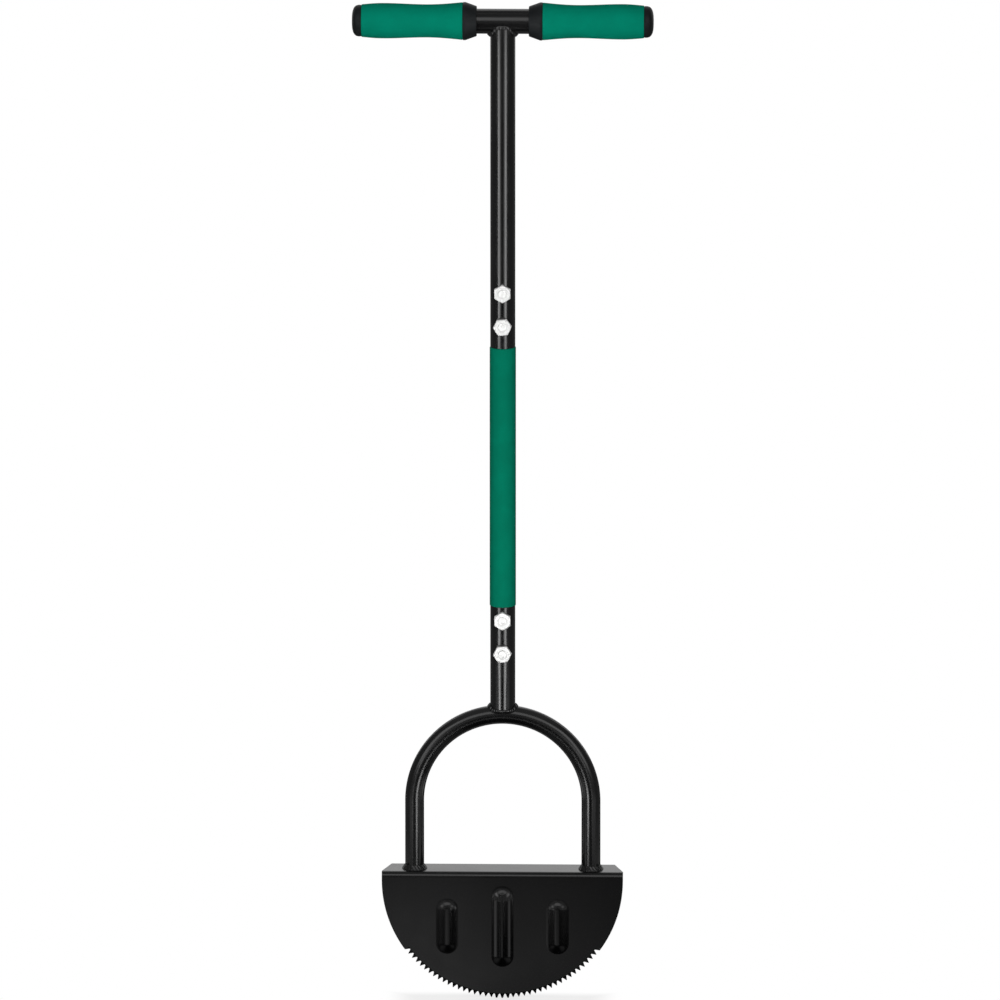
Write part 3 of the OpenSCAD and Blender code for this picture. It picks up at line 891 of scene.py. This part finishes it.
class EDGER_OT_inner_tube(bpy.types.Operator):
    """Paints the inner tube, which the sleeve and the outer tubes hide"""
    bl_idname = "edger.inner_tube"
    bl_label = "Inner Tube"

    def execute(self, context):
        inner = frame["nodes"]["middle_tube"]
        inner.data.materials.clear()
        inner.data.materials.append(finish_for("black_powder_coat"))
        return {"FINISHED"}


class EDGER_OT_sleeve(bpy.types.Operator):
    """Turns the soft sleeve in the middle of the shaft"""
    bl_idname = "edger.sleeve"
    bl_label = "Middle Sleeve"

    def execute(self, context):
        sizes = context.scene.edger_sizes
        outer, inner = SLEEVE_HIGH.x, TUBE_R - sizes.tube_wall
        low, high, rim = SLEEVE_LOW.z, SLEEVE_HIGH.z, sizes.sleeve_round
        middle = (low + high) / 2
        sleeve = turned(rounded([
            (middle, inner), (low, inner), (low, outer, rim),
            (high, outer, rim), (high, inner), (middle, inner)], 8), "Z", steps=TUBE_STEPS)
        settle(sleeve, "soft_middle_sleeve", ["middle_sleeve"], "green_sleeve")
        return {"FINISHED"}


def hex_sizes():
    """A hexagon's radius at its flats and corners, its chamfer's inner radius and depth."""
    flat = bpy.context.scene.edger_sizes.hex_across / 2
    corner = flat / math.cos(HEX_HALF)
    land, slope = flat * 0.96, math.radians(30)
    return flat, corner, land, (corner - land) * math.tan(slope)


def hex_piece(near, far, corner, profile):
    """A hexagon bar along Y, turned to a half section and softened."""
    clear()
    bpy.ops.mesh.primitive_cylinder_add(
        vertices=6, radius=corner, depth=far - near, location=(0, (near + far) / 2, 0),
        rotation=(math.pi / 2, 0, 0))
    piece = bpy.context.object
    freeze()
    cut(piece, turned(profile, "Y", steps=HEX_STEPS), "INTERSECT")
    soften(piece, width=0.12 * MM, angle=45)
    return piece


def set_in_joints(pattern, kind, name, angle, turns=(0.0, 0.0)):
    """Sets two turned copies of a small piece in each joint and removes the pattern."""
    for joint in JOINTS:
        node = joint + "_joint_" + kind
        pair = []
        for height, turn in zip(pair_heights(node), turns):
            each = copy_of(pattern)
            each.rotation_euler = (0, math.radians(turn), 0)
            each.location = (0, 0, height)
            freeze()
            pair.append(each)
        settle(join(pair), joint + "_" + name, [node], "zinc_plate", angle)
    remove(pattern)


class EDGER_OT_bolts(bpy.types.Operator):
    """Models a hex bolt with a dished head and a thread, and sets two in each joint"""
    bl_idname = "edger.bolts"
    bl_label = "Bolts"

    def execute(self, context):
        sizes = context.scene.edger_sizes
        low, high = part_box("lower_joint_bolts")
        face, tip, seat = low.y, high.y, -TUBE_R
        washer_face = seat - 0.5 * MM
        flat, corner, land, chamfer = hex_sizes()
        beyond = corner + TOUCH
        bolt_r = sizes.bolt_diameter / 2
        thread_r = bolt_r - 0.613 * sizes.thread_pitch
        dish_r, dish = sizes.dish_diameter / 2, sizes.dish_depth
        boss = face + dish * 0.45
        head = hex_piece(face, washer_face, corner, rounded([
            (boss, 0), (boss, dish_r * 0.35, 0.5 * MM), (face + dish, dish_r * 0.66, 0.7 * MM),
            (face, dish_r, 0.5 * MM), (face, land, 0.25 * MM), (face + chamfer, beyond),
            (seat, beyond), (seat, 0)], 6))
        inside, washer_r = washer_face - 0.3 * MM, flat - 0.6 * MM
        run_out = TUBE_R + 0.5 * MM
        shank = turned(rounded([
            (inside, 0), (inside, washer_r), (seat, washer_r, 0.2 * MM), (seat, bolt_r),
            (TUBE_R, bolt_r), (run_out, thread_r), (run_out, 0)]), "Y", steps=64)
        thread = self.thread(TUBE_R, tip, bolt_r, thread_r, sizes.thread_pitch)
        set_in_joints(join([head, shank, thread]), "bolts", "hex_bolts", 28.0, (0.0, HEX_TURN))
        return {"FINISHED"}

    @staticmethod
    def thread(low, tip, outer, inner, pitch):
        """A screw thread along Y with a chamfered point."""
        crest = pitch / 8
        slope = (pitch - 2 * crest) / 2
        start = low - pitch
        points = [Vector((0, start, inner))]
        for step, rise in (
                (crest, 0), (slope, outer - inner), (crest, 0), (slope, inner - outer)):
            points.append(points[-1] + Vector((0, step, rise)))
        thread = traced(points)
        close()
        apply_modifier(thread, "SCREW", axis="Y", angle=2 * math.pi, screw_offset=pitch,
                       iterations=math.ceil((tip - low) / pitch) + 2, steps=36, render_steps=36,
                       use_merge_vertices=True, merge_threshold=MERGE)
        edit(thread)
        bpy.ops.mesh.remove_doubles(threshold=MERGE)
        slice_off((0, low, 0), (0, 1, 0), clear_inner=True)
        slice_off((0, tip, 0), (0, 1, 0), clear_outer=True)
        bpy.ops.mesh.select_all(action="SELECT")
        bpy.ops.mesh.normals_make_consistent(inside=False)
        close()
        chamfer, beyond = 1.1 * MM, outer + 0.1 * MM
        cut(thread, turned([
            (start, 0), (start, beyond), (tip - chamfer, beyond), (tip, outer - chamfer), (tip, 0),
        ], "Y", steps=48), "INTERSECT")
        return thread


class EDGER_OT_washers(bpy.types.Operator):
    """Turns a lock washer ring, cuts its slanted split and sets one under each nut"""
    bl_idname = "edger.washers"
    bl_label = "Lock Washers"

    def execute(self, context):
        low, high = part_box("lower_joint_washers")
        outer = (high.x - low.x) / 2
        inner = context.scene.edger_sizes.bolt_diameter / 2 + HOLE_PLAY / 2
        near, far = low.y, high.y
        middle = (near + far) / 2
        rim, bore_rim, split = 0.35 * MM, 0.15 * MM, 1.4 * MM
        washer = turned(rounded([
            (middle, inner), (near, inner, bore_rim), (near, outer, rim), (far, outer, rim),
            (far, inner, bore_rim), (middle, inner)], 4), "Y", steps=HEX_STEPS)
        clear()
        bpy.ops.mesh.primitive_cube_add(
            size=1, location=(outer, middle, 0), rotation=(math.radians(20), 0, 0),
            scale=(2 * (outer - inner), 3 * (far - near), split))
        cut(washer, bpy.context.object)
        set_in_joints(washer, "washers", "lock_washers", 40.0)
        return {"FINISHED"}


class EDGER_OT_nuts(bpy.types.Operator):
    """Models a hex nut with turned corners and sets one on each bolt"""
    bl_idname = "edger.nuts"
    bl_label = "Nuts"

    def execute(self, context):
        low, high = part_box("lower_joint_nuts")
        near, far = low.y, high.y
        middle = (near + far) / 2
        _flat, corner, land, chamfer = hex_sizes()
        beyond = corner + TOUCH
        bore = context.scene.edger_sizes.bolt_diameter / 2 + PLAY
        lead, lead_r = 0.5 * MM, bore + 0.6 * MM
        nut = hex_piece(near, far, corner, rounded([
            (middle, bore), (near + lead, bore), (near - TOUCH, lead_r), (near - TOUCH, land),
            (near + chamfer, beyond), (far - chamfer, beyond), (far, land, 0.2 * MM),
            (far, lead_r, 0.1 * MM), (far - lead, bore), (middle, bore)]))
        set_in_joints(nut, "nuts", "hex_nuts", 28.0, (HEX_TURN, 0.0))
        return {"FINISHED"}


def both_sides(profile, name, node, slot, angle=SMOOTH):
    """Turns a handle piece for the right side and its mirror image for the left."""
    for sign, side in ((1, "right_"), (-1, "left_")):
        mirrored = [(sign * a, r) for a, r in profile]
        piece = turned(mirrored, "X", (0, 0, BAR_Z), steps=TUBE_STEPS)
        settle(piece, side + name, [side + node], slot, angle)


class EDGER_OT_collars(bpy.types.Operator):
    """Turns the tapered collars at the inner ends of the grips"""
    bl_idname = "edger.collars"
    bl_label = "Grip Collars"

    def execute(self, context):
        sizes = context.scene.edger_sizes
        start, stop = COLLAR_LOW.x, COLLAR_HIGH.x
        middle = (start + stop) / 2
        rim = (COLLAR_HIGH.z - COLLAR_LOW.z) / 2
        nose, inner = TUBE_R + sizes.collar_nose, TUBE_R + PLAY
        land = stop - sizes.collar_land
        profile = rounded([
            (middle, inner), (start, inner, 0.2 * MM), (start, nose, 0.7 * MM),
            (land, rim, 1.2 * MM), (stop, rim, sizes.seam_round), (stop, inner),
            (middle, inner)], 6)
        both_sides(profile, "collar", "grip_collar", "black_plastic")
        return {"FINISHED"}


class EDGER_OT_grips(bpy.types.Operator):
    """Turns the two soft grips with their rim, waist and swell"""
    bl_idname = "edger.grips"
    bl_label = "Grips"

    def execute(self, context):
        sizes = context.scene.edger_sizes
        start, stop = GRIP_LOW.x, GRIP_HIGH.x
        middle, inner = (start + stop) / 2, TUBE_R + PLAY
        rim, waist = TUBE_R + sizes.grip_rim, TUBE_R + sizes.grip_waist
        swell, end = TUBE_R + sizes.grip_swell, TUBE_R + sizes.grip_end
        waist_at, swell_at = sizes.grip_waist_at, sizes.grip_swell_at
        quarter, steps = math.pi / 2, 14
        line = []
        for low, high, first, last, bend in (
                (0.0, waist_at, rim, waist, lambda s: math.sin(quarter * s)),
                (waist_at, swell_at, waist, swell, lambda s: (1 - math.cos(math.pi * s)) / 2),
                (swell_at, stop - start, swell, end, lambda s: 1 - math.cos(quarter * s))):
            for i in range(1 if line else 0, steps + 1):
                share = i / steps
                line.append((start + low + (high - low) * share,
                             first + (last - first) * bend(share)))
        seam = sizes.seam_round
        profile = rounded([
            (middle, inner), (start, inner), (*line[0], seam), *line[1:-1],
            (*line[-1], seam), (stop, inner), (middle, inner)], 6)
        both_sides(profile, "soft_grip", "grip", "green_grip")
        return {"FINISHED"}


class EDGER_OT_end_caps(bpy.types.Operator):
    """Turns the domed caps with their barbed stems"""
    bl_idname = "edger.end_caps"
    bl_label = "End Caps"

    def execute(self, context):
        sizes = context.scene.edger_sizes
        rim = (CAP_HIGH.z - CAP_LOW.z) / 2
        seat, top = GRIP_HIGH.x, CAP_HIGH.x
        stem = TUBE_R - sizes.tube_wall - 0.1 * MM
        core = stem - 0.7 * MM
        length = seat - CAP_LOW.x
        line = [(CAP_LOW.x, 0), (CAP_LOW.x, core)]
        for i in (3, 2, 1):
            barb = seat - length / 4 * i
            line += [(barb - length / 8, core), (barb, stem), (barb, core)]
        groove = sizes.cap_groove
        shoulder = seat + 2 * groove
        line += [(seat, core), (seat, rim - groove), (seat + 0.8 * groove, rim - groove),
                 (shoulder - 0.4 * groove, rim - 0.1 * groove)]
        power, steps = 2 / sizes.cap_roundness, 22
        for i in range(steps):
            a = math.pi / 2 * i / steps
            line.append((shoulder + (top - shoulder) * math.sin(a) ** power,
                         rim * math.cos(a) ** power))
        line.append((top, 0))
        both_sides(line, "domed_cap", "end_cap", "black_plastic", angle=40.0)
        return {"FINISHED"}


def seen(f):
    """1 for what the camera, reflections and see-through things look at, 0 for falling light."""
    camera = f.add("LightPath")
    path = camera.socket.node
    glossy = Wire(f, path.outputs["Is Glossy Ray"])
    through = Wire(f, path.outputs["Is Transmission Ray"])
    return f.math("MINIMUM", camera + glossy + through, 1.0)


def across(f, place):
    """Distance of a place on the floor from the shaft."""
    flat = f.add("VectorMath", {"operation": "MULTIPLY"}, {0: place, 1: (1, 1, 0)})
    return f.add("VectorMath", {"operation": "LENGTH"}, {0: flat}, out=1)


class EDGER_OT_stage(bpy.types.Operator):
    """Sets up the floor, the lamps, a glowing drum of painted reflections and the camera"""
    bl_idname = "edger.stage"
    bl_label = "Stage"

    def execute(self, context):
        stage = context.scene.edger_stage
        context.scene.view_settings.view_transform = "Standard"
        self.floor(stage)
        self.flags()
        self.world(context.scene, stage)
        self.lamps(stage)
        self.camera(context.scene, stage)
        return {"FINISHED"}

    @staticmethod
    def floor(stage):
        """White floor that takes a soft shadow only under the blade and just in front of it."""
        clear()
        bpy.ops.mesh.primitive_circle_add(
            vertices=128, radius=32.0, fill_type="NGON", location=(0, 0, 0))
        floor = bpy.context.object
        floor.name = "pale_floor"
        f = new_finish("pale_floor")
        place = f.place()
        mottle = f.grain(place, 40.0, detail=3.0)
        paper = f.add("BsdfDiffuse", None, {"Color": f.blend(mottle, grey(0.88), grey(0.92))})
        dim = f.add("BsdfDiffuse", None, {"Color": f.blend(mottle, grey(0.23), grey(0.27))})
        x, y, _z = f.parts(place)
        behind = f.ease(y, -0.014, 0.012)
        ahead = f.ease(0.0 - y, 0.05, 0.15)
        aside = f.ease(f.math("ABSOLUTE", x), 0.085, 0.12)
        clear_of = f.math("MAXIMUM", f.math("MAXIMUM", behind, ahead), aside)
        share = stage.floor_glow + clear_of * (1.0 - stage.floor_glow)
        white = f.add("MixShader", None, {0: share, 1: paper, 2: f.glow("Emission")})
        floor.data.materials.append(
            f.show(f.add("MixShader", None, {0: seen(f), 1: dim, 2: white})))
        floor.visible_glossy = False

    @staticmethod
    def flags():
        """Glowing drum round the tool that only reflections see, with a well in the floor: painted
        reflections, mostly dark, with bright zones in place of lamps.
        """
        well_low, well_r, drum_r, drum_high = -0.3, 0.65, 6, 8
        flags = turned([(well_low, 0), (well_low, well_r), (0, well_r), (0, drum_r),
                        (drum_high, drum_r), (drum_high, 0)], "Z")
        flags.name = "painted_reflection_drum"
        f = new_finish("painted_reflection_drum")
        place = f.place()
        x, y, z = f.parts(place)
        wide, ahead = f.math("ABSOLUTE", x), 0.0 - y
        fall = (1.0, 0.0)
        brim = (z, -0.004, -0.001)
        # painted reflection of the well's wall in front, with a painted dark band where the middle
        # rib mirrors it
        front = f.zone((z, -0.135, -0.01, 0.34, 0.19), (wide, 0.13, 0.165, 1.0, 0.3),
                       (wide, 0.2, 0.27, 1.0, 0.15), (ahead, 0.0, 0.1)) * (1.1 - x * 5.4)
        beside = f.ease(f.math("ABSOLUTE", x + 0.0165), 0.01, 0.045, *fall)
        band = f.zone((z, -0.112, -0.1), (z, -0.095, -0.02, 0.8, 0.3), (z, -0.02, -0.005, *fall))
        front = front * (1.0 - beside * band)
        # painted reflection of the well's walls at the sides, and where the well begins and ends
        aside = f.ease(wide / (f.math("ABSOLUTE", y) + 0.01), 1.2, 1.75) * 0.62
        well = f.zone((*brim, *fall), (z, -0.2, -0.15))
        near = f.math("MAXIMUM", front, aside) * well
        # painted reflection of the floor beyond the well, painted brighter at its two front corners
        corner = f.zone((ahead, 0.36, 0.5), (wide, 0.22, 0.34),
                        (across(f, place), 1.05, 1.5, *fall)) * 0.58
        far = f.math("MAXIMUM", f.ease(wide, 0.15, 0.8, 0.02, 0.13), corner) * f.ease(*brim)
        # the drum's painted reflections: its roof, low wall in front, wall at the back and two tall
        # glowing boxes in place of softboxes
        roof = f.ease(z, 6.0, 7.9, 0.0, 0.10)
        brow = f.zone((ahead, 4.5, 5.5), (z, 0.05, 0.4), (z, 1.6, 2.6, *fall)) * 0.11
        back = f.zone((y, 4.0, 5.8), (wide, 0.9, 3.6, *fall), (z, 0.08, 0.45)) * 0.82
        turn = f.math("ARCTAN2", wide, ahead)
        glowing_boxes = f.zone((turn, 0.55, 0.68), (turn, 0.95, 1.05, *fall),
                       (z, 0.2, 1.3), (z, 4.4, 5.4, *fall)) * 1.5
        # painted reflection of the well's wall behind and the sides of its bottom
        under = f.zone((y, 0.04, 0.15), (z, -0.06, -0.03, *fall)) * 0.17
        bottom = f.zone((wide, 0.1, 0.3), (z, -0.29, -0.28, *fall)) * 0.14
        level = near + far + roof + back + glowing_boxes + f.math("MAXIMUM", under, bottom) + brow
        brightest = 2.0
        color = f.blend(level * (1 / brightest), grey(0), grey(1))
        # the drum glows: painted reflections of a studio, seen only by glossy rays
        flags.data.materials.append(f.show(f.glow("Emission", brightest, color)))
        f.owner.cycles.emission_sampling = "NONE"
        for ray in ("camera", "diffuse", "transmission", "volume_scatter", "shadow"):
            setattr(flags, "visible_" + ray, False)

    @staticmethod
    def world(scene, stage):
        """White air for the camera, and a weaker even light for the rest."""
        scene.world = bpy.data.worlds.new("studio_air")
        f = Finish(scene.world)
        air, white = f.glow("Background", stage.fill), f.glow("Background")
        f.show(f.add("MixShader", None, {0: seen(f), 1: air, 2: white}))

    @staticmethod
    def lamp(name, place, aim, width, height, brightness, spread=180.0):
        """A flat lamp that the camera doesn't see."""
        clear()
        turn = (Vector(aim) - Vector(place)).to_track_quat("-Z", "Y").to_euler()
        bpy.ops.object.light_add(type="AREA", location=place, rotation=turn)
        lamp = bpy.context.object
        lamp.name = name
        lamp.data.shape = "RECTANGLE"
        lamp.data.size = width
        lamp.data.size_y = height
        lamp.data.energy = 4.0 * width * height * brightness
        lamp.data.spread = math.radians(spread)
        lamp.visible_camera = False
        return lamp

    def lamps(self, stage):
        """Upright strips in front, a soft lamp above, keys without a highlight and rear lamps."""
        for name, x, y, turn, width, low, high, tilt, spread, gain in (
                ("left_upper_strip", -0.305, -0.55, 48.0, 0.27, 0.20, 0.94, 12.0, 58.0, 1.0),
                ("left_lower_strip", -0.272, -0.587, 48.0, 0.185, 0.005, 0.20, 32.0, 64.0, 3.4),
                ("right_upper_strip", 0.225, -0.55, -41.0, 0.25, 0.20, 0.94, 12.0, 58.0, 1.0),
                ("right_lower_strip", 0.192, -0.58, -41.0, 0.175, 0.005, 0.20, 32.0, 64.0, 2.9)):
            middle = Vector((x, y, (low + high) / 2))
            lean = math.radians(tilt)
            ahead = Matrix.Rotation(math.radians(-turn), 3, "Z") @ Vector((0, 1, math.tan(lean)))
            self.lamp(name, middle, middle + ahead, width, (high - low) / math.cos(lean),
                      stage.strip_brightness * gain, spread)
        self.lamp("soft_front", (0.0, -3.3, 2.9), (0, 0, 0.6), 5.0, 2.0, stage.soft_brightness)
        for name, y, share in (("front_key", -3.4, 1.0), ("rear_key", 3.4, 0.6)):
            key = self.lamp(name, (0.0, y, 1.2), (0, 0, 0.55), 2.2, 1.8,
                            stage.key_brightness * share)
            key.visible_glossy = False
        for name, x in (("left_rear", -1.3), ("right_rear", 1.3)):
            self.lamp(name, (x, 1.6, 1.2), (0, 0, 0.5), 0.5, 1.6, stage.rear_brightness)

    @staticmethod
    def camera(scene, stage):
        """Camera at its distance from the point it looks at."""
        clear()
        turn = (Matrix.Rotation(stage.azimuth, 4, "Z")
                @ Matrix.Rotation(math.pi / 2 - stage.elevation, 4, "X"))
        aim = Vector((stage.aim_x, 0, stage.aim_z))
        place = aim + turn @ Vector((0, 0, stage.distance))
        bpy.ops.object.camera_add(location=place, rotation=turn.to_euler())
        camera = bpy.context.object
        sensor = 36.0
        camera.data.sensor_width = sensor
        camera.data.lens = sensor * stage.distance / stage.frame_height
        camera.data.clip_end = 200.0
        scene.camera = camera


PIECES = (
    EDGER_OT_blade, EDGER_OT_leg_welds, EDGER_OT_fork, EDGER_OT_saddle_welds, EDGER_OT_lower_tube,
    EDGER_OT_inner_tube, EDGER_OT_sleeve, EDGER_OT_upper_shaft, EDGER_OT_bolts, EDGER_OT_washers,
    EDGER_OT_nuts, EDGER_OT_crossbar, EDGER_OT_collars, EDGER_OT_grips, EDGER_OT_end_caps,
    EDGER_OT_stage,
)
GROUPS = {"edger_sizes": EdgerSizes, "edger_finishes": EdgerFinishes, "edger_stage": EdgerStage}


class EDGER_PT_pieces(bpy.types.Panel):
    """Lists the edger's pieces and settings"""
    bl_idname = "EDGER_PT_pieces"
    bl_label = "Half Moon Edger"
    bl_space_type = "VIEW_3D"
    bl_region_type = "UI"
    bl_category = "Edger"

    def draw(self, context):
        layout = self.layout
        for piece in PIECES:
            layout.operator(piece.bl_idname)
        for name, group in GROUPS.items():
            box = layout.box()
            for setting in group.__annotations__:
                box.prop(getattr(context.scene, name), setting)


def register():
    """Registers the settings, the operators and the panel."""
    for name, group in GROUPS.items():
        bpy.utils.register_class(group)
        setattr(bpy.types.Scene, name, bpy.props.PointerProperty(type=group))
    for piece in PIECES:
        bpy.utils.register_class(piece)
    bpy.utils.register_class(EDGER_PT_pieces)


def unregister():
    """Takes back what register adds."""
    bpy.utils.unregister_class(EDGER_PT_pieces)
    for piece in reversed(PIECES):
        bpy.utils.unregister_class(piece)
    for name, group in GROUPS.items():
        delattr(bpy.types.Scene, name)
        bpy.utils.unregister_class(group)


def main():
    """Makes every piece and the stage."""
    register()
    for piece in PIECES:
        group, name = piece.bl_idname.split(".")
        getattr(getattr(bpy.ops, group), name)()


if __name__ == "__main__":
    main()
